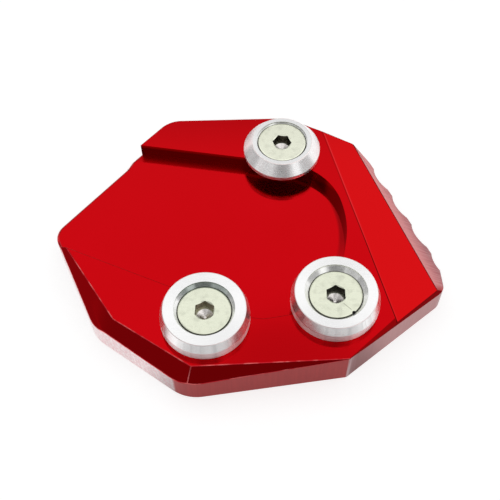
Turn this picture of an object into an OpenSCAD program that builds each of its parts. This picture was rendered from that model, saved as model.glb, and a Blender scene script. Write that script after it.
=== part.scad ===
// Foot enlarger for a motorbike side stand: one milled plate with a pocket that takes the
// stand's foot, and three thick washers that overhang the pocket and clamp the foot,
// each held by a countersunk socket screw. Millimetres, +Z up, the plate lies on Z = 0,
// +Y points away from the eye and the mouth of the pocket opens to the left.

/* [Plate] */
// Thickness of the plate
plate_t = 9; // [7:0.1:14]
// Depth of the pocket below the plate's top
pocket_depth = 3.3; // [2:0.1:5]
// Width of the broken edge along the pocket's mouth
mouth_break = 0.45; // [0.1:0.05:0.8]

/* [Outline, seen from above] */
// Left tip, between the near side and the mouth
left_tip = [-45.8, 7.4]; // [-60:0.1:60]
// Corner between the two left-hand bevels
left_corner = [-34.4, -17.5]; // [-60:0.1:60]
// Nearest corner, at the front
front_corner = [-14.1, -32.2]; // [-60:0.1:60]
// Sharp corner at the front right
front_right_corner = [20.6, -27.5]; // [-60:0.1:60]
// Right-hand corner, below the scallops
right_corner = [43.2, -9.7]; // [-60:0.1:60]
// Lower end of the scalloped edge
scallops_low_end = [43.2, -1.7]; // [-60:0.1:60]
// Upper end of the scalloped edge
scallops_high_end = [29.5, 26.1]; // [-60:0.1:60]
// Far right corner
far_right_corner = [25.7, 31.1]; // [-60:0.1:60]
// Right-hand end of the rear edge
rear_right_corner = [9.5, 39.3]; // [-60:0.1:60]
// Left-hand end of the rear edge
rear_left_corner = [-19.7, 38.8]; // [-60:0.1:60]
// Foot of the rear rim, which stands a little proud of the mouth
rim_foot = [-28.75, 28.6]; // [-60:0.1:60]
// Far end of the mouth
mouth_end = [-29.9, 26.3]; // [-60:0.1:60]
// Corner radius of the left tip
left_tip_r = 4.5; // [2:0.5:6]
// Corner radius between the left-hand bevels
left_corner_r = 8; // [2:0.5:12]
// Corner radius at the front
front_corner_r = 9; // [2:0.5:12]
// Corner radius at the front right
front_right_r = 0.8; // [0.2:0.1:3]
// Corner radius at the right
right_corner_r = 3.5; // [1:0.5:5]
// Corner radius of the rear edge's right end
rear_right_r = 5; // [1:0.5:8]
// Corner radius of the rear edge's left end
rear_left_r = 6.5; // [1:0.5:10]
// Radius of the smaller corners along the far side
small_corner_r = 1.5; // [0.5:0.5:2]

/* [Scallops] */
// Number of scallops in the right-hand edge
scallop_count = 4; // [1:1:4]
// Distance from one scallop to the next
scallop_pitch = 8.67; // [7:0.01:9]
// Radius of the cutter that made them
scallop_r = 6; // [4:0.5:10]
// Depth of a scallop
scallop_depth = 1; // [0.3:0.1:1.5]
// Distance from the edge's upper end to the first scallop's tip
scallop_start = 1.9; // [1:0.1:5]

/* [Bevels] */
// Slope of the three bevels at the left and the front
near_bevel_angle = 37; // [20:1:45]
// Slope of the bevel along the lower right side
side_bevel_angle = 42; // [20:1:50]
// Slope of the bevel beside the lowered strip's near end
strip_bevel_angle = 52; // [30:1:60]
// Slope of the bevel above the scallops
far_bevel_angle = 32; // [15:1:40]
// Far end of the left bevel's upper edge, beside the left tip
left_bevel_top = [-42.2, 2.05]; // [-60:0.1:60]
// Corner of the top face inside the left corner
left_bevel_corner = [-29.7, -17.3]; // [-60:0.1:60]
// Corner of the top face inside the front corner, on its left
front_bevel_left = [-14.7, -27.35]; // [-60:0.1:60]
// Corner of the top face inside the front corner, on its right
front_bevel_right = [-12.6, -28.7]; // [-60:0.1:60]
// End of the front bevel, where it runs out
front_bevel_end = [20.2, -27.45]; // [-60:0.1:60]
// Near end of the bevel along the lower right side, where it starts
side_bevel_start = [20.9, -27.1]; // [-60:0.1:60]
// Far end of that bevel, at the lowered strip
side_bevel_end = [30.7, -18.2]; // [-60:0.1:60]
// Near end of the strip's bevel, where it starts
strip_bevel_start = [31.7, -18.25]; // [-60:0.1:60]
// Corner of the strip's top face inside the right corner
strip_corner = [41.3, -10.2]; // [-60:0.1:60]
// Far end of the bevel above the scallops
far_bevel_end = [25.5, 31.3]; // [-60:0.1:60]

/* [Lowered strip] */
// Middle of the groove line between the flat top and the strip
crease_middle = [25.1, 7.5]; // [-60:0.1:60]
// Direction of that line, turned from the Y axis
crease_turn = 14; // [5:0.1:20]
// Depth of the line at its middle
crease_depth = 0.52; // [0.3:0.01:1]
// Lean of the small step at the line, from upright
crease_lean = 25; // [10:5:45]
// Slope of the strip, down to the right
strip_slope = 3; // [2:0.5:8]
// Fall of the strip towards the front
strip_fall = 0.9; // [0:0.1:1.2]

/* [Pocket, seen from above] */
// Near wall of the pocket, a point beyond its mouth
pocket_mouth_near = [-50, 5.03]; // [-60:0.1:60]
// Corner of the pocket at the front
pocket_front = [1.5, -17.9]; // [-60:0.1:60]
// Corner of the pocket under the front right washer
pocket_right = [18.6, -15]; // [-60:0.1:60]
// Slight corner in the middle of the pocket's right side
pocket_side = [22.85, 7]; // [-60:0.1:60]
// Corner of the pocket at the rear
pocket_rear = [19.5, 23.3]; // [-60:0.1:60]
// Far wall of the pocket, a point beyond its mouth
pocket_mouth_far = [-45, 34.2]; // [-60:0.1:60]
// Rounding of the front corner
pocket_front_r = 8; // [2:0.5:8]
// Rounding of the right corner
pocket_right_r = 11; // [8:0.5:14]
// Rounding of the slight corner at the right
pocket_side_r = 26; // [10:0.5:28]
// Rounding of the rear corner
pocket_rear_r = 15.5; // [5:0.5:16]

/* [Screws] */
// Place of the rear screw
rear_screw_at = [8, 28.7]; // [-60:0.1:60]
// Place of the front left screw
left_screw_at = [-9.8, -17.6]; // [-60:0.1:60]
// Place of the front right screw
right_screw_at = [18.3, -13.9]; // [-60:0.1:60]
// Radius of a screw's shank, at the middle of its thread
shank_r = 2.7; // [2:0.1:3.2]
// Clearance round the shank in the plate's tapped hole
thread_gap = 0.1; // [0.05:0.05:0.2]
// Radius of a screw's head
head_r = 5.8; // [5:0.1:6.5]
// Width of the bevelled edge of a head's face
head_break = 0.35; // [0.1:0.05:0.6]
// Slope of that bevelled edge
head_break_angle = 22; // [10:1:45]
// Height of the straight rim round a head
head_rim = 0.06; // [0.05:0.01:0.6]
// Distance from the plate's underside up to a screw's end
end_gap = 1.5; // [0.5:0.5:3]
// Width across the flats of the hex socket
hex_af = 4; // [3:0.5:5]
// Depth of the hex socket
hex_depth = 2.6; // [1.5:0.1:2.8]
// Width of the countersink round the socket, at its flats
hex_break = 0.28; // [0.1:0.01:0.5]
// Slope of the countersink and of the drill point below the socket
point_angle = 30; // [20:1:45]
// Radius of the drill point below the socket
point_r = 1.8; // [1:0.1:1.9]
// Clearance between a screw's cone and its washer's
cone_gap = 0.06; // [0.02:0.01:0.2]
// Broken edge at a screw's end
end_break = 0.6; // [0.2:0.1:1]
// Radius of the small nick in the front right head's edge
nick_r = 0.3; // [0.1:0.05:0.6]
// Direction of the nick from the head's middle
nick_turn = -52; // [-180:1:180]

/* [Front washers] */
// Outer radius of the two front washers
front_washer_r = 9.7; // [8.5:0.1:11]
// Height of the front washers
front_washer_h = 4.8; // [4.4:0.1:6]
// Height of their straight rim
front_rim_h = 2.4; // [1:0.1:3.5]
// Radius of their top face
front_face_r = 8.9; // [8:0.1:9.5]
// Height of the straight wall at the mouth of their countersinks
front_mouth_h = 0.45; // [0.2:0.05:0.6]
// Depth of the front left head below its washer's face
left_head_sunk = 0.9; // [0.6:0.05:1.2]
// Depth of the front right head below its washer's face
right_head_sunk = 1.15; // [0.6:0.05:1.4]
// Width of the broken edge round each washer's underside
washer_break = 0.25; // [0.1:0.05:0.5]

/* [Rear washer] */
// Outer radius of the rear washer
rear_washer_r = 9.25; // [8.5:0.05:10]
// Height of the rear washer
rear_washer_h = 3.8; // [3.6:0.1:5]
// Height of its straight rim
rear_rim_h = 1.2; // [0.5:0.1:2]
// Radius of its narrow top face
rear_face_r = 7.2; // [6.8:0.1:8.5]
// Height of the straight wall at the mouth of its countersink
rear_mouth_h = 0.3; // [0.1:0.05:0.4]
// Depth of the rear screw's head below the washer's face
rear_head_sunk = 0.35; // [0.3:0.05:0.7]

/* [Hidden] */

// Facets asked of a round shape
round_fn = 96;
// How far a cutting shape reaches past what it cuts
reach = 80;
// Turns of the hex sockets as they were left when tightened
rear_hex_turn = -7;
left_hex_turn = 27;
right_hex_turn = 30;
// Clearance of a screw's shank in its washer
shank_gap = 0.5;
// Run of a cutting tool past the top face
over = 8;
// Run of a drill past the face it goes through
past = 1;
// Size of the cutter that breaks the mouth's edge
mouth_cutter = 1;
// Width of the cut that lowers the strip, past the plate's edge
strip_cut_w = 40;

// Helpers that round a corner b between the points a and c
function unit(v) = v / norm(v);
function turn_at(a, b, c) = acos(unit(b - a) * unit(c - b));
function touch_len(a, b, c, r) = r * tan(turn_at(a, b, c) / 2);
function arc_centre(a, b, c, r) =
    b + unit(unit(c - b) - unit(b - a)) * r / cos(turn_at(a, b, c) / 2);
function touches(a, b, c, r) = r == 0 ? [b] : [
    b - unit(b - a) * touch_len(a, b, c, r),
    b + unit(c - b) * touch_len(a, b, c, r)];

// The plate's outline, each corner with its radius, counterclockwise
outline = [
    [left_tip, left_tip_r],
    [left_corner, left_corner_r],
    [front_corner, front_corner_r],
    [front_right_corner, front_right_r],
    [right_corner, right_corner_r],
    [scallops_low_end, 0],
    [scallops_high_end, small_corner_r],
    [far_right_corner, small_corner_r],
    [rear_right_corner, rear_right_r],
    [rear_left_corner, rear_left_r],
    [rim_foot, small_corner_r],
    [mouth_end, 0]];

pocket = [
    [pocket_mouth_near, 0],
    [pocket_front, pocket_front_r],
    [pocket_right, pocket_right_r],
    [pocket_side, pocket_side_r],
    [pocket_rear, pocket_rear_r],
    [pocket_mouth_far, 0]];

// The middle of the outline's box, which is the part's origin
left_end = arc_centre(mouth_end, left_tip, left_corner, left_tip_r).x - left_tip_r;
near_end = arc_centre(left_corner, front_corner, front_right_corner, front_corner_r).y
    - front_corner_r;
far_end = arc_centre(far_right_corner, rear_right_corner, rear_left_corner, rear_right_r).y
    + rear_right_r;
middle = [(left_end + right_corner.x) / 2, (near_end + far_end) / 2];

// Height of the lowered strip above the plate's underside at a point of the plan
crease_across = [cos(crease_turn), sin(crease_turn)];
crease_along = [-sin(crease_turn), cos(crease_turn)];
function strip_z(p) = plate_t - crease_depth
    - tan(strip_slope) * ((p - crease_middle) * crease_across)
    + tan(strip_fall) * ((p - crease_middle) * crease_along);

// A flat shape from its corners, each [place, radius]: straight sides and true arcs
module rounded_shape(corners) {
    n = len(corners);
    polygon([for (i = [0:n - 1])
        each touches(corners[(i + n - 1) % n][0], corners[i][0],
                     corners[(i + 1) % n][0], corners[i][1])]);
    for (i = [0:n - 1])
        if (corners[i][1] > 0)
            corner_sector(corners[(i + n - 1) % n][0], corners[i][0],
                          corners[(i + 1) % n][0], corners[i][1]);
}

// The piece of a circle that rounds the corner b between a and c
module corner_sector(a, b, c, r) {
    centre = arc_centre(a, b, c, r);
    ends = touches(a, b, c, r);
    intersection() {
        translate(centre)
            circle(r, $fn = round_fn);
        polygon([centre, ends[0], b, ends[1]]);
    }
}

// Removes what lies above a plane that holds the line p to q and falls away to its right
module bevel_cut(p, q, zp, zq, angle) {
    run = norm(q - p);
    translate([p.x, p.y, zp])
        rotate([0, 0, atan2(q.y - p.y, q.x - p.x)])
            rotate([0, atan2(zp - zq, run), 0])
                rotate([angle, 0, 0])
                    translate([-reach, -reach, 0])
                        cube([run + 2 * reach, reach, over]);
}

module scallops() {
    along = unit(scallops_low_end - scallops_high_end);
    out = [-along.y, along.x];
    half_width = sqrt(pow(scallop_r, 2) - pow(scallop_r - scallop_depth, 2));
    for (i = [0:scallop_count - 1])
        translate(scallops_high_end
                + along * (scallop_start + i * scallop_pitch + half_width)
                + out * (scallop_r - scallop_depth))
            circle(scallop_r, $fn = round_fn);
}

// The shallow cut that lowers the strip beside the scalloped edge
module strip_cut() {
    translate([crease_middle.x, crease_middle.y, plate_t - crease_depth])
        rotate([0, 0, crease_turn])
            rotate([strip_fall, 0, 0])
                rotate([90, 0, 0])
                    translate([0, 0, -reach])
                        linear_extrude(2 * reach)
                            polygon([[0, 0], [-over * tan(crease_lean), over],
                                     [strip_cut_w, over],
                                     [strip_cut_w, -strip_cut_w * tan(strip_slope)]]);
}

module bevels() {
    top = plate_t;
    bevel_cut(left_bevel_top, left_bevel_corner, top, top, near_bevel_angle);
    bevel_cut(left_bevel_corner, front_bevel_left, top, top, near_bevel_angle);
    bevel_cut(front_bevel_left, front_bevel_right, top, top, near_bevel_angle);
    bevel_cut(front_bevel_right, front_bevel_end, top, top, near_bevel_angle);
    bevel_cut(side_bevel_start, side_bevel_end, top, top, side_bevel_angle);
    bevel_cut(strip_bevel_start, strip_corner,
              strip_z(strip_bevel_start), strip_z(strip_corner), strip_bevel_angle);
    bevel_cut(strip_corner, far_bevel_end,
              strip_z(strip_corner), strip_z(far_bevel_end), far_bevel_angle);
}

// Breaks the edge of the pocket's floor along the mouth and round the left tip
module mouth_edge() {
    floor_z = plate_t - pocket_depth;
    centre = arc_centre(mouth_end, left_tip, left_corner, left_tip_r);
    ends = touches(mouth_end, left_tip, left_corner, left_tip_r);
    profile = [[mouth_break, 0], [-mouth_cutter, -mouth_cutter - mouth_break],
               [-mouth_cutter, mouth_cutter], [mouth_break, mouth_cutter]];
    intersection() {
        translate([0, 0, floor_z - 2 * mouth_cutter])
            linear_extrude(4 * mouth_cutter)
                rounded_shape(pocket);
        translate([0, 0, floor_z]) {
            edge_prism(rear_left_corner, rim_foot, profile);
            edge_prism(rim_foot, mouth_end, profile);
            edge_prism(mouth_end, ends[0], profile);
            edge_prism(ends[1], left_corner, profile);
            translate(centre)
                rotate([0, 0, atan2(ends[0].y - centre.y, ends[0].x - centre.x)])
                    rotate_extrude(angle = turn_at(mouth_end, left_tip, left_corner),
                                   $fn = round_fn)
                        polygon([for (p = profile) [left_tip_r - p.x, p.y]]);
        }
    }
}

// A bar of the given profile from p to q, with the profile's x to the left of its run
module edge_prism(p, q, profile) {
    translate([p.x, p.y, 0])
        rotate([0, 0, atan2(q.y - p.y, q.x - p.x)])
            rotate([90, 0, 90])
                linear_extrude(norm(q - p))
                    polygon(profile);
}

module plate() {
    color([0.78, 0.02, 0.07])
        translate([-middle.x, -middle.y, 0])
            difference() {
                linear_extrude(plate_t)
                    difference() {
                        rounded_shape(outline);
                        scallops();
                    }
                translate([0, 0, plate_t - pocket_depth])
                    linear_extrude(over)
                        rounded_shape(pocket);
                mouth_edge();
                bevels();
                strip_cut();
                for (at = [rear_screw_at, left_screw_at, right_screw_at])
                    translate([at.x, at.y, -past])
                        cylinder(h = plate_t + 2 * past, r = shank_r + thread_gap,
                                 $fn = round_fn);
            }
}

// Depth of a head's edge, from its face down to the start of its cone
edge_h = head_break * tan(head_break_angle) + head_rim;

// A thick washer, countersunk for a head that lies the given depth below its face
module washer(at, outer_r, height, rim_h, face_r, mouth_h, head_sunk) {
    bore_r = shank_r + shank_gap;
    cone_top = height - mouth_h;
    mouth_r = head_r + cone_gap * sqrt(2) + head_sunk + edge_h - mouth_h;
    color([0.86, 0.87, 0.88])
        translate([at.x - middle.x, at.y - middle.y, plate_t])
            rotate_extrude($fn = round_fn)
                polygon([[bore_r, 0], [outer_r - washer_break, 0], [outer_r, washer_break],
                         [outer_r, rim_h], [face_r, height], [mouth_r, height],
                         [mouth_r, cone_top], [bore_r, cone_top - (mouth_r - bore_r)]]);
}

// A countersunk socket screw whose head lies in its washer's cone
module screw(at, head_top, hex_turn) {
    cone_top = head_top - edge_h;
    color([0.90, 0.91, 0.83])
        translate([at.x - middle.x, at.y - middle.y, 0])
            difference() {
                rotate_extrude($fn = round_fn)
                    polygon([[0, end_gap], [shank_r - end_break, end_gap],
                             [shank_r, end_gap + end_break],
                             [shank_r, cone_top - (head_r - shank_r)],
                             [head_r, cone_top], [head_r, cone_top + head_rim],
                             [head_r - head_break, head_top], [0, head_top]]);
                hex_socket(head_top, hex_turn);
            }
}

// The socket with its countersunk edge and the drill point below it
module hex_socket(head_top, hex_turn) {
    inner_r = hex_af / 2;
    break_h = hex_break * tan(point_angle);
    point_h = point_r * tan(point_angle);
    translate([0, 0, head_top - hex_depth])
        rotate([0, 0, hex_turn])
            cylinder(h = hex_depth + past, r = inner_r / cos(30), $fn = 6);
    translate([0, 0, head_top - break_h])
        cylinder(h = break_h + past, r1 = inner_r,
                 r2 = inner_r + (break_h + past) / tan(point_angle), $fn = round_fn);
    translate([0, 0, head_top - hex_depth])
        rotate_extrude($fn = round_fn)
            polygon([[0, -point_h], [point_r, 0], [point_r, past], [0, past]]);
}

module washer_rear()
    washer(rear_screw_at, rear_washer_r, rear_washer_h, rear_rim_h, rear_face_r,
           rear_mouth_h, rear_head_sunk);
module washer_front_left()
    washer(left_screw_at, front_washer_r, front_washer_h, front_rim_h, front_face_r,
           front_mouth_h, left_head_sunk);
module washer_front_right()
    washer(right_screw_at, front_washer_r, front_washer_h, front_rim_h, front_face_r,
           front_mouth_h, right_head_sunk);
module screw_rear()
    screw(rear_screw_at, plate_t + rear_washer_h - rear_head_sunk, rear_hex_turn);
module screw_front_left()
    screw(left_screw_at, plate_t + front_washer_h - left_head_sunk, left_hex_turn);
module screw_front_right()
    difference() {
        head_top = plate_t + front_washer_h - right_head_sunk;
        screw(right_screw_at, head_top, right_hex_turn);
        translate([right_screw_at.x - middle.x, right_screw_at.y - middle.y, head_top - edge_h])
            rotate([0, 0, nick_turn])
                translate([head_r, 0, 0])
                    cylinder(h = edge_h + past, r = nick_r, $fn = round_fn);
    }

plate();
washer_rear();
washer_front_left();
washer_front_right();
screw_rear();
screw_front_left();
screw_front_right();
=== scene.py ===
# %% [markdown]
# # A red foot plate for a motorbike's side stand
# The object is a milled and red-anodised plate with a pocket, held on the stand's foot by three
# thick turned washers and three countersunk screws. The solids come finished from the CAD model,
# so this lesson is about what makes them look like metal: broken edges, milling and turning
# marks, a deep glossy red, and the light that the metal mirrors.

# %% Load the solids
import math
import bmesh
import bpy
from mathutils import Matrix, Vector
from mathutils.bvhtree import BVHTree


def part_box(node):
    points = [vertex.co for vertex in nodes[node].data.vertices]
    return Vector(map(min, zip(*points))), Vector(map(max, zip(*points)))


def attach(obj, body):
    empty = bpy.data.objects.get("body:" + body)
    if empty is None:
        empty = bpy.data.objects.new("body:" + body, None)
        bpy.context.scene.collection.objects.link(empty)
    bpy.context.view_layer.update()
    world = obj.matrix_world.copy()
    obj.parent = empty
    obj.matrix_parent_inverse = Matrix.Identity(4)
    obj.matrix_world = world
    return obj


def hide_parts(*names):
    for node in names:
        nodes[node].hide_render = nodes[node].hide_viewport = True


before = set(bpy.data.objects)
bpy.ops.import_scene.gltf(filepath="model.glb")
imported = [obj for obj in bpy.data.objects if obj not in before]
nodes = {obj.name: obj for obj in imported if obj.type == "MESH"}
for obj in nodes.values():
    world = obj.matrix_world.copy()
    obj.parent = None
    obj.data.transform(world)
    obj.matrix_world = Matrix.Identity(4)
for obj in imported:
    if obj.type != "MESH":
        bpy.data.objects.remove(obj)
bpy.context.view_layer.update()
print("solids:", sorted(nodes))

# %% [markdown]
# ## Camera
# The camera stands about 20 cm away and 57 degrees above the table. Its place was worked out
# from the circles of the washers and the screw heads. The picture plane's two axes are built
# first, and the camera's turn is made from them. The lens follows from the picture's width and
# the focal length, both in pixels.

# %% Camera
aim = Vector((0.00091, -0.00374, 0.009))
pitch, roll, distance = math.radians(56.892), math.radians(-0.665), 0.19898
focal_pixels, picture_pixels, sensor_width = 880.27, 500, 36
forward = Vector((0, math.cos(pitch), -math.sin(pitch)))
level, upward = Vector((1, 0, 0)), Vector((0, math.sin(pitch), math.cos(pitch)))
across = math.cos(roll) * level + math.sin(roll) * upward
above = -math.sin(roll) * level + math.cos(roll) * upward
camera_data = bpy.data.cameras.new("camera")
camera_data.sensor_width = sensor_width
camera_data.lens = sensor_width * focal_pixels / picture_pixels
camera_data.clip_start = 0.01
camera = bpy.data.objects.new("camera", camera_data)
bpy.context.scene.collection.objects.link(camera)
turn = Matrix((across, above, -forward)).transposed().to_4x4()
camera.matrix_world = Matrix.Translation(aim - distance * forward) @ turn
bpy.context.scene.camera = camera
print("camera at", [round(v, 4) for v in camera.location])

# %% [markdown]
# ## Helpers for materials
# A material is a graph of nodes. These helpers only save typing: they add a node with its
# settings, join two sockets and do one sum.

# %% Node helpers
def add(tree, kind, **settings):
    """A new node of the kind in the tree, with its settings and its named or numbered inputs."""
    node = tree.nodes.new(kind)
    for name, value in settings.pop("inputs", {}).items():
        node.inputs[name].default_value = value
    for name, value in settings.items():
        setattr(node, name, value)
    return node


def join(tree, source, target):
    """Joins an output socket, or sets a plain value, to an input socket."""
    if isinstance(source, bpy.types.NodeSocket):
        tree.links.new(source, target)
    else:
        target.default_value = source


def math_node(tree, operation, first, second=None):
    """One sum: the operation on two sockets or numbers. Gives its output socket."""
    node = add(tree, "ShaderNodeMath", operation=operation)
    for socket, value in zip(node.inputs, (first, second)):
        if value is not None:
            join(tree, value, socket)
    return node.outputs[0]


def vector_node(tree, operation, first, second=None, output=0):
    """One vector sum on sockets or triples. Gives the wanted output socket."""
    node = add(tree, "ShaderNodeVectorMath", operation=operation)
    for socket, value in zip(node.inputs, (first, second)):
        if value is not None:
            join(tree, value, socket)
    return node.outputs[output]

# %% [markdown]
# Most of a material here is masks: numbers from 0 to 1 that say where a finish lies. A mask
# comes from a measured value, such as a distance or a face's direction, spread over a range
# with soft ends. Masks are multiplied where all of them must hold, and they blend two colours.

# %% Mask helpers
def product(tree, first, *others):
    """All the sockets multiplied together."""
    for other in others:
        first = math_node(tree, "MULTIPLY", first, other)
    return first


def dot(tree, vector, direction):
    """How far the vector runs along the direction."""
    return vector_node(tree, "DOT_PRODUCT", vector, direction, "Value")


def distance_to(tree, vector, point):
    """The distance from the vector's place to the point."""
    return vector_node(tree, "DISTANCE", vector, point, "Value")


def spread(tree, value, low, high, to_low=0.0, to_high=1.0):
    """Maps the value from low..high to to_low..to_high with soft ends."""
    node = add(tree, "ShaderNodeMapRange", interpolation_type="SMOOTHSTEP",
               inputs={"From Min": low, "From Max": high, "To Min": to_low, "To Max": to_high})
    join(tree, value, node.inputs["Value"])
    return node.outputs["Result"]


def fade(tree, value, low, high):
    """1 below low and 0 above high, with soft ends."""
    return spread(tree, value, low, high, 1.0, 0.0)


def blend(tree, factor, first, second):
    """The colour first where the factor is 0 and second where it is 1."""
    node = add(tree, "ShaderNodeMix", data_type="RGBA")
    join(tree, factor, node.inputs["Factor"])
    for socket, colour in ((node.inputs["A"], first), (node.inputs["B"], second)):
        join(tree, colour + (1,) if isinstance(colour, tuple) else colour, socket)
    return node.outputs["Result"]


def noise(tree, vector, scale, detail=2.0):
    """Soft random values of the vector, with the given number of bumps to a metre."""
    node = add(tree, "ShaderNodeTexNoise", inputs={"Detail": detail})
    join(tree, scale, node.inputs["Scale"])
    join(tree, vector, node.inputs["Vector"])
    return node.outputs["Fac"]

# %% [markdown]
# An effect that several materials share is a group: a small graph with named sockets, built
# once and placed in each material with its own values. Every material starts as a Principled
# shader, and reads the place on the piece and the direction that the surface faces there.

# %% Groups and materials
FLOAT, VECTOR = "NodeSocketFloat", "NodeSocketVector"


def new_group(name, inputs, outputs):
    """A node group with named sockets. Gives the tree and its two ends."""
    tree = bpy.data.node_groups.new(name, "ShaderNodeTree")
    for socket_name, kind, value in inputs:
        item = tree.interface.new_socket(socket_name, in_out="INPUT", socket_type=kind)
        item.default_value = value
    for socket_name, kind in outputs:
        tree.interface.new_socket(socket_name, in_out="OUTPUT", socket_type=kind)
    return tree, add(tree, "NodeGroupInput"), add(tree, "NodeGroupOutput")


def place_group(tree, group, **values):
    """The group as a node in a material, with its values, underscores standing for blanks."""
    node = tree.nodes.new("ShaderNodeGroup")
    node.node_tree = group
    for name, value in values.items():
        node.inputs[name.replace("_", " ")].default_value = value
    return node


def new_material(name):
    """An empty material with a Principled shader wired to its output."""
    material = bpy.data.materials.new(name)
    material.use_nodes = True
    tree = material.node_tree
    tree.nodes.clear()
    shader = add(tree, "ShaderNodeBsdfPrincipled")
    output = add(tree, "ShaderNodeOutputMaterial")
    join(tree, shader.outputs["BSDF"], output.inputs["Surface"])
    return material, tree, shader


def parts_of(tree, vector):
    """The x, y and z of the vector, as a list of three sockets."""
    split = add(tree, "ShaderNodeSeparateXYZ")
    join(tree, vector, split.inputs[0])
    return list(split.outputs)


def surface(tree):
    """The place on the piece and the direction that the surface faces there."""
    place = add(tree, "ShaderNodeTexCoord")
    return place.outputs["Object"], place.outputs["Normal"]

# %% [markdown]
# ## Turning marks
# A lathe leaves fine rings round the axis of what it turns. Rings are waves of the distance
# from the axis, so the group measures that distance in the part's own coordinates. Height is
# taken off it, so that the rings also run down the cones. The group gives a noise of the
# direction from the axis too, for a painted reflection: the light and dark fans that a turned
# edge shows.

# %% The turning-mark group
turned_group, ends_in, ends_out = new_group(
    "turning marks",
    [("Axis", VECTOR, (0, 0, 0)), ("Pitch", FLOAT, 0.0002), ("Fan Count", FLOAT, 3.0)],
    [("Height", FLOAT), ("Painted Fans", FLOAT), ("Distance", FLOAT)])
place = add(turned_group, "ShaderNodeTexCoord")
from_axis = vector_node(turned_group, "SUBTRACT", place.outputs["Object"],
                        ends_in.outputs["Axis"])
flat = vector_node(turned_group, "MULTIPLY", from_axis, (1, 1, 0))
radius = vector_node(turned_group, "LENGTH", flat, output="Value")
height = parts_of(turned_group, from_axis)[2]
waves = product(turned_group, math_node(turned_group, "SUBTRACT", radius, height), 2 * math.pi)
rings = math_node(turned_group, "SINE",
                  math_node(turned_group, "DIVIDE", waves, ends_in.outputs["Pitch"]))
toward = vector_node(turned_group, "NORMALIZE", flat)
painted_fans = noise(turned_group, toward, ends_in.outputs["Fan Count"], 3.0)
for name, result in (("Height", rings), ("Painted Fans", painted_fans), ("Distance", radius)):
    join(turned_group, result, ends_out.inputs[name])
print("turning marks:", len(turned_group.nodes), "nodes")

# %% [markdown]
# ## Handling wear
# Metal that has been handled is never evenly smooth. This group gives soft blotches, for
# smears and haze, and a net of fine scratches made from stretched noise.

# %% The wear group
wear_group, ends_in, ends_out = new_group(
    "handling wear",
    [("Blotch Size", FLOAT, 0.008), ("Scratch Size", FLOAT, 0.0004)],
    [("Blotches", FLOAT), ("Scratches", FLOAT)])
place = add(wear_group, "ShaderNodeTexCoord")
stretch = add(wear_group, "ShaderNodeMapping",
              inputs={"Rotation": (0, 0, 0.6), "Scale": (0.06, 1.0, 1.0)})
join(wear_group, place.outputs["Object"], stretch.inputs["Vector"])
blotch_scale = math_node(wear_group, "DIVIDE", 1.0, ends_in.outputs["Blotch Size"])
scratch_scale = math_node(wear_group, "DIVIDE", 1.0, ends_in.outputs["Scratch Size"])
blotches = noise(wear_group, place.outputs["Object"], blotch_scale, 4.0)
scratches = noise(wear_group, stretch.outputs[0], scratch_scale)
for name, result in (("Blotches", blotches), ("Scratches", scratches)):
    join(wear_group, result, ends_out.inputs[name])
print("handling wear:", len(wear_group.nodes), "nodes")

# %% [markdown]
# ## Red anodised aluminium
# Anodising grows a clear dyed skin on the metal. The metal below mirrors in deep red, and the
# skin adds a faint colourless gloss. The outside walls and the wide bevel above the scallops
# were cut with the flank of the mill. They are a rougher pink with fine lines, and their pale
# and deep tones are painted light, so the material mixes two finishes. What tells the two
# apart is how steep a face is and whether it looks away from the pocket.

# %% Where the flank of the mill cut
red, tree, shader = new_material("red anodised")
spot, facing = surface(tree)
at, turned_to = parts_of(tree, spot), parts_of(tree, facing)
pocket_middle = Vector((-0.005, 0.003, 0.0))
from_pocket = vector_node(tree, "SUBTRACT", spot, pocket_middle)
outward = spread(tree, dot(tree, from_pocket, facing), 0.0, 0.004)
upright = fade(tree, math_node(tree, "ABSOLUTE", turned_to[2]), 0.1, 0.3)
far_bevel = Vector((0.63, 0.22, 0.745)).normalized()
on_far_bevel = spread(tree, dot(tree, facing, far_bevel), 0.975, 0.99)
flank = math_node(tree, "MAXIMUM", product(tree, outward, upright), on_far_bevel)
print("wide bevel faces", [round(v, 2) for v in far_bevel])

# %% [markdown]
# The mill's lines stand upright on the walls and slant over the wide bevel. Both are noise on
# coordinates that are squeezed along the lines. The same lines dim the colour and make a very
# low bump.

# %% Lines of the mill
grain = add(tree, "ShaderNodeMapping", inputs={"Scale": (1.0, 1.0, 0.03)})
slant = add(tree, "ShaderNodeMapping",
            inputs={"Rotation": (0, 0, -0.9), "Scale": (0.06, 1.0, 0.06)})
for mapping in (grain, slant):
    join(tree, spot, mapping.inputs["Vector"])
slant_lines = noise(tree, slant.outputs[0], 4200.0)
mixed = add(tree, "ShaderNodeMix", data_type="FLOAT")
join(tree, on_far_bevel, mixed.inputs["Factor"])
join(tree, noise(tree, grain.outputs[0], 2600.0), mixed.inputs["A"])
join(tree, slant_lines, mixed.inputs["B"])
marks = mixed.outputs["Result"]
bump = add(tree, "ShaderNodeBump", inputs={"Strength": 0.35, "Distance": 0.00001})
join(tree, product(tree, marks, flank), bump.inputs["Height"])
join(tree, bump.outputs["Normal"], shader.inputs["Normal"])
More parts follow.
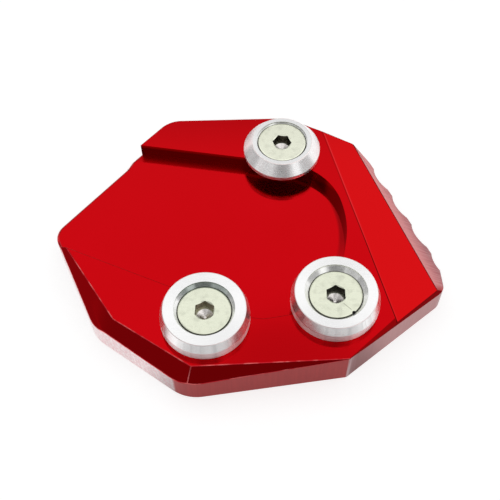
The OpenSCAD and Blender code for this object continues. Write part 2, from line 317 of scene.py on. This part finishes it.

# %% [markdown]
# The walls differ in painted light. The left ones carry painted glare and are nearly white, the
# front one carries painted shade and is deep, and the ones at the right lie between, with a
# painted highlight at the front right corner. A ramp over the sideways part of the face's
# direction, from -1 at the left to 1 at the right, paints each wall's light.

# %% Painted light on the walls
# Painted light: glare on the left walls, shade on the front wall, a highlight at the front right
# corner.
painted_light_stops = [(-0.90, (0.90, 0.72, 0.73)), (-0.56, (0.90, 0.64, 0.66)), (-0.49, (0.60, 0.08, 0.08)),
         (0.16, (0.58, 0.07, 0.07)), (0.30, (0.86, 0.60, 0.60)), (0.45, (0.50, 0.21, 0.21)),
         (0.60, (0.42, 0.16, 0.16)), (0.95, (0.38, 0.19, 0.19))]
painted_light_ramp = add(tree, "ShaderNodeValToRGB")
stops = painted_light_ramp.color_ramp.elements
while len(stops) < len(painted_light_stops):
    stops.new(1.0)
for stop, (sideways, colour) in zip(stops, painted_light_stops):
    stop.position = (sideways + 1) / 2
    stop.color = colour + (1,)
halved = math_node(tree, "ADD", product(tree, turned_to[0], 0.5), 0.5)
join(tree, halved, painted_light_ramp.inputs["Fac"])
print("wall tones:", len(painted_light_stops))

# %% [markdown]
# The wide bevel gets painted light: greyer near its lower edge, with a painted pink highlight
# above. White speckles lie on the walls at the left. A painted highlight draws a pale streak on
# the sharp corner at the front right. At the far right the wide bevel ends in a soft round,
# where painted shade turns its tone back to the deep red of the skin.

# %% The pale cut faces
sharp_corner, far_tip = (0.0196, -0.0327, 0.0), (0.0429, -0.0145, 0.0)
far_grey = blend(tree, spread(tree, slant_lines, 0.35, 0.65), (0.30, 0.17, 0.19),
                 (0.42, 0.29, 0.30))
# Painted highlight: the wide bevel turns pink towards its upper edge and greyer below.
far_bevel_painted_light = blend(tree, spread(tree, at[2], 0.0055, 0.0082), far_grey, (0.80, 0.42, 0.42))
pale = blend(tree, on_far_bevel, painted_light_ramp.outputs["Color"], far_bevel_painted_light)
speckle = product(tree, spread(tree, turned_to[0], -0.56, -0.50, 0.8, 0.0),
                  spread(tree, noise(tree, spot, 1600.0), 0.42, 0.62))
pale = blend(tree, speckle, pale, (0.97, 0.90, 0.90))
pale = blend(tree, spread(tree, marks, 0.3, 0.7, 0.12, 0.0), pale, (0.25, 0.02, 0.02))
in_plan = vector_node(tree, "MULTIPLY", spot, (1, 1, 0))
# Painted highlight: a pale streak on the sharp corner at the front right.
corner_highlight = product(tree, fade(tree, distance_to(tree, in_plan, sharp_corner), 0.0010, 0.0050),
              spread(tree, marks, 0.40, 0.60, 0.35, 1.0), spread(tree, turned_to[0], 0.3, 0.5))
pale = blend(tree, corner_highlight, pale, (0.97, 0.74, 0.77))
# Painted shade: the far tip of the wide bevel turns deep red.
tip_painted_shade = product(tree, on_far_bevel,
              fade(tree, distance_to(tree, in_plan, far_tip), 0.0008, 0.0026))
pale = blend(tree, tip_painted_shade, pale, (0.26, 0.0, 0.001))

# %% [markdown]
# The top is a clean mirror. Its red varies only a little, and painted light makes the lowered
# strip at the right a shade lighter. The face direction picks that strip out, because it falls to
# the right. Painted shade darkens the groove between the two, with a thin painted glint beside
# it. The distance from the groove's line draws both. Painted shade makes the strip's low bevel
# at the front a deeper red.

# %% The red of the top
wear = place_group(tree, wear_group, Blotch_Size=0.014, Scratch_Size=0.0005)
flat_red = blend(tree, wear.outputs["Blotches"], (0.57, 0.0, 0.0025), (0.60, 0.0, 0.004))
# Painted light: the tilted strip is made a shade lighter.
painted_light_on_strip = spread(tree, turned_to[0], 0.02, 0.05)
top_red = blend(tree, painted_light_on_strip, flat_red, (0.68, 0.003, 0.005))
groove_turn = math.radians(14)
groove_middle = Vector((0.02601, 0.00376, 0.0))
groove_across = Vector((math.cos(groove_turn), math.sin(groove_turn), 0.0))
groove_along = Vector((-math.sin(groove_turn), math.cos(groove_turn), 0.0))
from_groove = vector_node(tree, "SUBTRACT", spot, groove_middle)
beside, along = dot(tree, from_groove, groove_across), dot(tree, from_groove, groove_along)
# Painted shade: a dark line in the groove.
groove_painted_shade = product(tree, spread(tree, beside, -0.00030, -0.00022),
               fade(tree, beside, 0.00008, 0.00016),
               spread(tree, along, -0.010, 0.018, 1.0, 0.35))
top_red = blend(tree, groove_painted_shade, top_red, (0.16, 0.0, 0.0))
# Painted highlight: a thin glint beside the groove.
painted_glint = product(tree, spread(tree, beside, 0.00010, 0.00020),
                fade(tree, beside, 0.00030, 0.00042),
                spread(tree, along, -0.012, 0.008, 0.10, 0.40))
top_red = blend(tree, painted_glint, top_red, (0.85, 0.06, 0.07))
low_bevel, painted_shade_red = Vector((0.53, -0.59, 0.62)).normalized(), (0.30, 0.0, 0.002)
# Painted shade: the strip's low bevel is a deeper red.
low_bevel_painted_shade = spread(tree, dot(tree, facing, low_bevel), 0.990, 0.996)
top_red = blend(tree, low_bevel_painted_shade, top_red, painted_shade_red)
print("groove turned by", round(math.degrees(groove_turn), 1), "degrees")

# %% [markdown]
# Painted shade darkens the pocket's walls, the right wall most. A painted highlight draws a soft
# line on the upper edge of the rear wall. A band of painted shade runs along the foot of the
# right wall, round the bend of the pocket. The floor beside the rear wall is a little hazy, so
# it mirrors that wall softly.

# %% The pocket, and the roughness of it all
pocket_floor = 0.0057
bend_middle = (-0.00275, 0.0031, pocket_floor)
rear_wall, rear_wall_faces = (-0.0251, 0.0272, 0.0), (-0.1665, -0.9860, 0.0)
inside = product(tree, upright, math_node(tree, "SUBTRACT", 1.0, outward))
on_floor = fade(tree, at[2], pocket_floor + 0.0001, pocket_floor + 0.0003)
# Painted shade: a dark band on the floor along the foot of the right wall.
foot_painted_shade = product(tree, spread(tree, distance_to(tree, spot, bend_middle), 0.0240, 0.0249),
               spread(tree, at[0], 0.015, 0.018), on_floor,
               spread(tree, at[1], -0.007, 0.003, 0.3, 1.0))
# Painted highlight: a soft bright line on the upper edge of the rear wall.
lip_painted_highlight = product(tree, spread(tree, at[2], 0.0079, 0.0089), fade(tree, turned_to[1], -0.95, -0.80))
# Painted shade: the pocket's walls are deep red, darkest on the right wall.
pocket_painted_shade = blend(tree, fade(tree, turned_to[0], -0.99, -0.85), painted_shade_red, (0.20, 0.0, 0.001))
pocket_painted_shade = blend(tree, lip_painted_highlight, pocket_painted_shade, (1.0, 0.03, 0.03))
red_skin = blend(tree, math_node(tree, "MAXIMUM", inside, foot_painted_shade), top_red, pocket_painted_shade)
join(tree, blend(tree, flank, red_skin, pale), shader.inputs["Base Color"])
gap = dot(tree, vector_node(tree, "SUBTRACT", spot, rear_wall), rear_wall_faces)
hazy = product(tree, spread(tree, gap, 0.0018, 0.0034, 0.29, 0.0),
               fade(tree, at[0], -0.002, 0.003), on_floor)
cut_rough = spread(tree, flank, 0.0, 1.0, 0.10, 0.38)
join(tree, math_node(tree, "MAXIMUM", hazy, cut_rough), shader.inputs["Roughness"])
shader.inputs["Metallic"].default_value = 1.0
shader.inputs["Coat Weight"].default_value = 0.2
shader.inputs["Coat IOR"].default_value = 1.25
shader.inputs["Coat Roughness"].default_value = 0.1
print("red anodised:", len(tree.nodes), "nodes")

# %% [markdown]
# The broken edges are a material of their own. Towards the front they carry painted
# highlights as fine pink lines, brighter in some places than in others, and nearly white on the
# upright edge at the front right. Towards the back they carry painted shade and are dark.

# %% Painted light on the broken edges
painted_edge_light, tree, shader = new_material("rubbed red edge")
turned_to = parts_of(tree, surface(tree)[1])
wear = place_group(tree, wear_group, Blotch_Size=0.003, Scratch_Size=0.0003)
# Painted highlight: pink edge lines towards the front, brighter in some places than in others.
front_edge_highlight = blend(tree, spread(tree, wear.outputs["Blotches"], 0.4, 0.7),
                 (0.55, 0.02, 0.03), (0.85, 0.20, 0.20))
upright = fade(tree, math_node(tree, "ABSOLUTE", turned_to[2]), 0.1, 0.2)
# Painted highlight: the upright edge at the front right is nearly white.
corner = product(tree, spread(tree, turned_to[0], 0.15, 0.25), upright)
front_edge_highlight = blend(tree, corner, front_edge_highlight, (1.0, 0.88, 0.88))
# Painted shade: the edges towards the back are dark.
back_edge_shade = spread(tree, turned_to[1], -0.05, 0.08)
join(tree, blend(tree, back_edge_shade, front_edge_highlight, (0.16, 0.0, 0.0)), shader.inputs["Base Color"])
join(tree, spread(tree, wear.outputs["Scratches"], 0.3, 0.7, 0.25, 0.45),
     shader.inputs["Roughness"])
shader.inputs["Metallic"].default_value = 1.0
print("rubbed red edge:", len(tree.nodes), "nodes")

# %% [markdown]
# ## Painted shade and marks on the screws and in the countersinks
# Painted shade darkens the screws' broached sockets, and a painted highlight brightens their
# bottoms. Painted shade lies in the gap round each head. The front right head has a nick in its
# edge, darkened with painted shade, and a fine scratch that runs towards it. Painted shade of a
# depth of its own lies on the far side of each washer's countersink.

# %% Socket, nick and countersink
BOTTOM_RADIUS, SOCKET_RADIUS, HEAD_RADIUS, MOUTH_RADIUS = 0.0018, 0.0025, 0.0058, 0.0070
SOFT_END = 0.0001
NICK_TURN = math.radians(-52)
SCRATCH_START = Vector((0.0013, -0.0021, 0.0))
SCRATCH_WAY, SCRATCH_SIDE = (0.707, -0.707, 0.0), (0.707, 0.707, 0.0)


def within(tree, distance, radius):
    """1 nearer to the axis than the radius, with a soft end."""
    return fade(tree, distance, radius - SOFT_END, radius + SOFT_END)


def with_socket(tree, metal, distance, turned_to, socket_shade):
    """The metal with painted shade on the socket's walls, a painted highlight on its bottom, and
    painted shade in the gap round the head.
    """
    bottom = product(tree, within(tree, distance, BOTTOM_RADIUS),
                     spread(tree, turned_to[2], 0.7, 0.8))
    walls = product(tree, within(tree, distance, SOCKET_RADIUS),
                    fade(tree, turned_to[2], 0.5, 0.7))
    # Painted highlight: the socket's bottom is brighter and pinker than the steel.
    metal = blend(tree, bottom, metal, (1.0, 0.95, 0.92))
    # Painted shade on the socket's walls.
    metal = blend(tree, walls, metal, socket_shade)
    # Painted shade: a dark ring in the gap round the head.
    return blend(tree, spread(tree, distance, 0.00562, 0.00572), metal, (0.07, 0.07, 0.05))


def with_nick(tree, metal, spot, middle):
    """The metal of a head with the middle given, with painted shade in the nick at its edge, and
    scratched.
    """
    nick = middle + HEAD_RADIUS * Vector((math.cos(NICK_TURN), math.sin(NICK_TURN), 0.0))
    # Painted shade: the nick is nearly black.
    dark = fade(tree, distance_to(tree, spot, nick), 0.00038, 0.00052)
    metal = blend(tree, dark, metal, (0.01, 0.01, 0.01))
    start = vector_node(tree, "SUBTRACT", spot, middle + SCRATCH_START)
    aside = math_node(tree, "ABSOLUTE", dot(tree, start, SCRATCH_SIDE))
    along = dot(tree, start, SCRATCH_WAY)
    scratch = product(tree, spread(tree, aside, 0.00003, 0.00009, 0.6, 0.0),
                      spread(tree, along, 0.0, 0.0003), fade(tree, along, 0.0022, 0.0027))
    return blend(tree, scratch, metal, (0.10, 0.10, 0.07))


def with_far_cone(tree, metal, distance, turned_to, far_shade):
    """The metal with the painted shade given on the far side of the countersink."""
    # Painted shade on the far side of the countersink, by face direction.
    far_cone_shade = product(tree, within(tree, distance, MOUTH_RADIUS),
                       fade(tree, turned_to[1], -0.55, -0.25))
    return blend(tree, far_cone_shade, metal, far_shade)

# %% [markdown]
# ## Turned aluminium and steel
# The washers are bare turned aluminium. Light on a turned face spreads across the rings and
# not along them, which draws fans from the centre. Anisotropy does that: the tangent runs round
# the axis, and a quarter turn makes the light spread outwards. The upright rims are rougher,
# so they stay pale above the red. The screws are a duller, faintly yellow stainless steel,
# mottled by their coating.

# %% The washer and screw material
def turned_metal(node_name, colour, shade, mottling, roughness, rim_roughness, anisotropy,
                 inside):
    """Bare metal turned round the node's own axis, with painted fans, and the given painted shade
    inside its hole.
    """
    low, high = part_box(node_name)
    middle = Vector(((low.x + high.x) / 2, (low.y + high.y) / 2, high.z))
    material, tree, shader = new_material("bare metal " + node_name)
    spot, facing = surface(tree)
    turned_to = parts_of(tree, facing)
    turned = place_group(tree, turned_group, Axis=(middle.x, middle.y, 0), Pitch=0.00018,
                         Fan_Count=5.0)
    wear = place_group(tree, wear_group, Blotch_Size=0.0016, Scratch_Size=0.00016)
    distance = turned.outputs["Distance"]
    # Painted reflection: light and dark fans on the turned cones, painted into the colour along
    # with the coating's own mottle.
    painted_fans = product(tree, fade(tree, turned_to[2], 0.86, 0.98),
                   spread(tree, distance, MOUTH_RADIUS, MOUTH_RADIUS + 0.0004, 0.15, 1.0),
                   spread(tree, turned.outputs["Painted Fans"], 0.42, 0.62))
    mottle = spread(tree, wear.outputs["Blotches"], 0.45, 0.75, 0.0, mottling)
    metal = blend(tree, math_node(tree, "MAXIMUM", painted_fans, mottle), colour,
                  tuple(c * shade for c in colour))
    if node_name.startswith("screw"):
        metal = with_socket(tree, metal, distance, turned_to, inside)
    else:
        metal = with_far_cone(tree, metal, distance, turned_to, inside)
    if node_name == "screw_front_right":
        metal = with_nick(tree, metal, spot, middle)
    join(tree, metal, shader.inputs["Base Color"])
    rim = spread(tree, math_node(tree, "ABSOLUTE", turned_to[2]), 0.1, 0.3, rim_roughness, 0.0)
    fine = spread(tree, wear.outputs["Scratches"], 0.3, 0.7, roughness * 0.85, roughness * 1.15)
    join(tree, math_node(tree, "MAXIMUM", rim, fine), shader.inputs["Roughness"])
    bump = add(tree, "ShaderNodeBump", inputs={"Strength": 0.15, "Distance": 0.000002})
    join(tree, turned.outputs["Height"], bump.inputs["Height"])
    join(tree, bump.outputs["Normal"], shader.inputs["Normal"])
    tangent = add(tree, "ShaderNodeTangent", direction_type="RADIAL", axis="Z")
    join(tree, tangent.outputs["Tangent"], shader.inputs["Tangent"])
    shader.inputs["Metallic"].default_value = 1.0
    shader.inputs["Anisotropic"].default_value = anisotropy
    shader.inputs["Anisotropic Rotation"].default_value = 0.25
    print(node_name, "turned round", [round(middle.x, 4), round(middle.y, 4)])
    return material

# %% [markdown]
# Each screw and washer gets the material with its own values. The rear screw is cleaner than
# the other two. The rear washer's cone is wider, with weaker painted fans. The washers' broken
# edges are rubbed bright, and a painted reflection of the red around them gives them a warm tint.

# %% Screws and washers
STEEL, CLEAN_STEEL, ALUMINIUM = (0.88, 0.91, 0.74), (0.98, 1.0, 0.83), (1.0, 1.0, 1.0)
# The second value of each screw is the painted shade on its socket's walls.
screws = {"screw_rear": (CLEAN_STEEL, (0.08, 0.07, 0.05)),
          "screw_front_left": (STEEL, (0.36, 0.33, 0.24)),
          "screw_front_right": (STEEL, (0.04, 0.035, 0.025))}
for node_name, (steel, socket_shade) in screws.items():
    nodes[node_name].data.materials.clear()
    nodes[node_name].data.materials.append(
        turned_metal(node_name, steel, shade=0.84, mottling=1.0, roughness=0.3,
                     rim_roughness=0.42, anisotropy=0.3, inside=socket_shade))
# Each washer's first value is the painted shade on the far side of its countersink.
washers = {"washer_rear": ((0.96, 0.97, 0.92), 0.97, 0.30, 0.20),
           "washer_front_left": ((0.44, 0.49, 0.46), 0.84, 0.23, 0.42),
           "washer_front_right": ((1.0, 1.0, 0.98), 0.84, 0.23, 0.42)}
washer_finishes = {
    name: turned_metal(name, ALUMINIUM, shade=shade, mottling=0.03, roughness=roughness,
                       rim_roughness=rim_roughness, anisotropy=0.86, inside=far_shade)
    for name, (far_shade, shade, roughness, rim_roughness) in washers.items()}
# Painted reflection: the pink tint of the washers' bright edges stands in for the red plate
# mirrored in them.
edge_painted_red_reflection, tree, shader = new_material("rubbed bright edge")
shader.inputs["Base Color"].default_value = (1.0, 0.90, 0.89, 1)
shader.inputs["Metallic"].default_value = 1.0
wear = place_group(tree, wear_group, Blotch_Size=0.002, Scratch_Size=0.0002)
join(tree, spread(tree, wear.outputs["Blotches"], 0.3, 0.7, 0.35, 0.5),
     shader.inputs["Roughness"])

# %% [markdown]
# ## Broken edges
# No milled or turned edge is perfectly sharp: a brush or a file leaves a tiny rounding that
# catches the light as a thin line. A few edges stay sharp, because nothing was broken there,
# and a rounding would cut into the thin bevels. These two tests name them.

# %% Edges that stay sharp
GROOVE_REACH = 0.0006


def stays_sharp(edge):
    """True beside the groove, on the narrow bevel, and in the pocket where nothing was broken."""
    in_groove = all(abs((v.co - groove_middle) @ groove_across) < GROOVE_REACH
                    for v in edge.verts)
    on_narrow_bevel = any(face.normal.x > 0.3 and face.normal.y < -0.3
                          and 0.3 < face.normal.z < 0.95 for face in edge.link_faces)
    in_pocket = any(abs(face.normal.z) < 0.3 and face.normal.y < 0.2
                    and (face.calc_center_median() - pocket_middle) @ face.normal < 0
                    for face in edge.link_faces)
    return in_groove or on_narrow_bevel or in_pocket


def inside_countersink(edge):
    """True for a washer's edges that lie nearer to its axis than the mouth of its hole."""
    return all((v.co.xy - axis).length < MOUTH_RADIUS for v in edge.verts)

# %% [markdown]
# A node's mesh is a set of loose triangles, so a copy of it is merged first, and flat faces
# lose their inner edges. Edges that turn by less than 17 degrees belong to curves and stay
# smooth, but beside a level face even a small turn is a real edge. A Bevel modifier rounds the
# rest by about a tenth of a millimetre and gives the rounding its own finish, with painted light.

# %% Rounding the edges of a copy
EDGE_WIDTH = 0.00012
MERGE_DISTANCE = 0.000002
FLAT_TURN, LEVEL_TURN, CURVE_TURN = math.radians(0.3), math.radians(1.5), math.radians(17)


def merged_mesh(node_name, name, kept):
    """A merged copy of a node's mesh, with a weight on each edge that is to be rounded."""
    mesh = nodes[node_name].data.copy()
    mesh.name = name
    shape = bmesh.new()
    shape.from_mesh(mesh)
    bmesh.ops.remove_doubles(shape, verts=shape.verts, dist=MERGE_DISTANCE)
    bmesh.ops.dissolve_limit(shape, angle_limit=FLAT_TURN, use_dissolve_boundaries=False,
                             verts=shape.verts, edges=shape.edges)
    for face in shape.faces:
        face.smooth = True
    weight = shape.edges.layers.float.new("bevel_weight_edge")
    for edge in shape.edges:
        level = any(face.normal.z > 0.95 for face in edge.link_faces)
        edge.smooth = edge.calc_face_angle(math.pi) < (LEVEL_TURN if level else CURVE_TURN)
        edge[weight] = 0.0 if edge.smooth or kept(edge) else 1.0
    print(name, "rounds", sum(edge[weight] > 0 for edge in shape.edges), "edges")
    shape.to_mesh(mesh)
    shape.free()
    return mesh


def with_broken_edges(node_name, name, finishes, kept):
    """A piece that stands for the node: its mesh with broken edges in the second finish, which
    carries painted light.
    """
    mesh = merged_mesh(node_name, name, kept)
    mesh.materials.clear()
    for finish in finishes:
        mesh.materials.append(finish)
    piece = bpy.data.objects.new(name, mesh)
    bpy.context.scene.collection.objects.link(piece)
    rounding = piece.modifiers.new("broken edges", "BEVEL")
    rounding.limit_method = "WEIGHT"
    rounding.width = EDGE_WIDTH
    rounding.segments = 2
    rounding.material = 1
    rounding.use_clamp_overlap = False
    flat = piece.modifiers.new("flat faces stay flat", "WEIGHTED_NORMAL")
    flat.keep_sharp = True
    rounded = piece.evaluated_get(bpy.context.evaluated_depsgraph_get())
    piece.data = bpy.data.meshes.new_from_object(rounded)
    piece.modifiers.clear()
    solid = BVHTree.FromPolygons([v.co for v in mesh.vertices],
                                 [face.vertices for face in mesh.polygons])
    far = max((solid.find_nearest(v.co)[3], v.co.to_tuple(5)) for v in piece.data.vertices)
    print("farthest from the solid, in metres, and where:", far)
    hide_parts(node_name)
    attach(piece, "root")
    return piece

# %% [markdown]
# The plate and the three washers get their broken edges, and each copy gets the finishes given
# to it. The screws keep the solid's own edges, which the washers' cones hide.

# %% Plate and washers with broken edges
plate = with_broken_edges("plate", "plate_broken_edges", (red, painted_edge_light), stays_sharp)
for node_name, finish in washer_finishes.items():
    low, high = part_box(node_name)
    axis = ((low + high) / 2).xy
    washer = with_broken_edges(node_name, node_name + "_broken_edges", (finish, edge_painted_red_reflection),
                               inside_countersink)

# %% [markdown]
# ## Table
# The table is a plain white sheet. Camera and mirror rays see a glow added to its lit colour,
# so it reads as white, and a faint shadow under the plate stays. In front of the plate the
# mirrored glow is weaker, a painted shadow of the camera, which keeps the front wall deep.

# %% Floor
half, glow_strength, painted_shadow_glow = 3.0, 0.72, 0.28
to_camera = (0.13, -0.99, 0)
corners = [(-half, -half, 0), (half, -half, 0), (half, half, 0), (-half, half, 0)]
floor_mesh = bpy.data.meshes.new("floor")
floor_mesh.from_pydata(corners, [], [(0, 1, 2, 3)])
floor = bpy.data.objects.new("floor", floor_mesh)
bpy.context.scene.collection.objects.link(floor)
paper, tree, shader = new_material("white table")
shader.inputs["Base Color"].default_value = (0.45, 0.45, 0.45, 1)
shader.inputs["Roughness"].default_value = 0.7
shader.inputs["Specular IOR Level"].default_value = 0.1
shader.inputs["Emission Color"].default_value = (1, 1, 1, 1)
place = add(tree, "ShaderNodeTexCoord")
toward = vector_node(tree, "NORMALIZE", place.outputs["Object"])
in_front = dot(tree, toward, to_camera)
# Painted shadow: the mirrored glow is weaker in front of the plate.
mirrored = spread(tree, in_front, 0.66, 0.86, glow_strength, painted_shadow_glow)
rays = add(tree, "ShaderNodeLightPath").outputs
clear = math_node(tree, "MAXIMUM", rays["Is Camera Ray"], rays["Is Transmission Ray"])
glow = math_node(tree, "ADD", product(tree, clear, glow_strength),
                 product(tree, rays["Is Glossy Ray"], mirrored))
join(tree, glow, shader.inputs["Emission Strength"])
floor_mesh.materials.append(paper)
print("floor:", 2 * half, "m wide")

# %% [markdown]
# ## Light
# The plate is a mirror, so what matters is what stands round it. The room is an even white
# light, and soft dark cards stand in it where the bevels and the washers' cones look. Without
# them every face would be as bright as the top. Two more cards stand low behind the part and
# overhead, and tone down the top at its far and near ends. The camera never sees the cards.

# %% Soft dark cards
def soft_card(tree, look, azimuth, elevation, half_width, half_height):
    """How far a soft oval card covers a direction: offsets over half sizes, squared, summed."""
    a, e = math.radians(azimuth), math.radians(elevation)
    middle = Vector((math.cos(a) * math.cos(e), math.sin(a) * math.cos(e), math.sin(e)))
    side = Vector((-math.sin(a), math.cos(a), 0))
    top = middle.cross(side)
    offsets = [dot(tree, look, v / size) for v, size in ((side, half_width), (top, half_height))]
    far = math_node(tree, "ADD", *[product(tree, offset, offset) for offset in offsets])
    in_view = math_node(tree, "GREATER_THAN", dot(tree, look, middle), 0.0)
    return product(tree, in_view, fade(tree, far, 0.75, 1.3))


cards = [("left", 0.64, 170, 15, 0.42, 0.32), ("left front", 0.74, 208, 42, 0.50, 0.32),
         ("camera side", 0.78, 271, 38, 0.42, 0.46), ("right", 0.62, 342, 18, 0.36, 0.30),
         ("low behind", 0.50, 90, 27.5, 0.60, 0.35), ("overhead", 0.25, 84, 67, 0.10, 0.10)]
world = bpy.data.worlds.new("studio")
bpy.context.scene.world = world
world.use_nodes = True
tree = world.node_tree
tree.nodes.clear()
look = add(tree, "ShaderNodeTexCoord").outputs["Generated"]
cover = 0.0
for name, darkness, *card in cards:
    cover = math_node(tree, "MAXIMUM", cover,
                      product(tree, soft_card(tree, look, *card), darkness))
print("dark cards:", [card[0] for card in cards])

# %% [markdown]
# The room's strength is 1 for rays that the camera or a mirror sends out, which is white, and a
# little less for the light that falls on matt things. The cards are taken off it, but not for
# the camera's own rays.

# %% Room
LIT, EXTRA_SEEN = 0.95, 0.05
rays = add(tree, "ShaderNodeLightPath").outputs
clear = math_node(tree, "MAXIMUM", rays["Is Camera Ray"], rays["Is Transmission Ray"])
seen = math_node(tree, "MAXIMUM", clear, rays["Is Glossy Ray"])
white = math_node(tree, "ADD", LIT, product(tree, seen, EXTRA_SEEN))
hidden = product(tree, math_node(tree, "SUBTRACT", 1.0, clear), cover)
sky = add(tree, "ShaderNodeBackground", inputs={"Color": (1, 1, 1, 1)})
join(tree, math_node(tree, "SUBTRACT", white, hidden), sky.inputs["Strength"])
out = add(tree, "ShaderNodeOutputWorld")
join(tree, sky.outputs[0], out.inputs["Surface"])
bpy.context.scene.view_settings.view_transform = "Standard"
print("room:", len(tree.nodes), "nodes")

# %% Finish
bpy.context.view_layer.update()
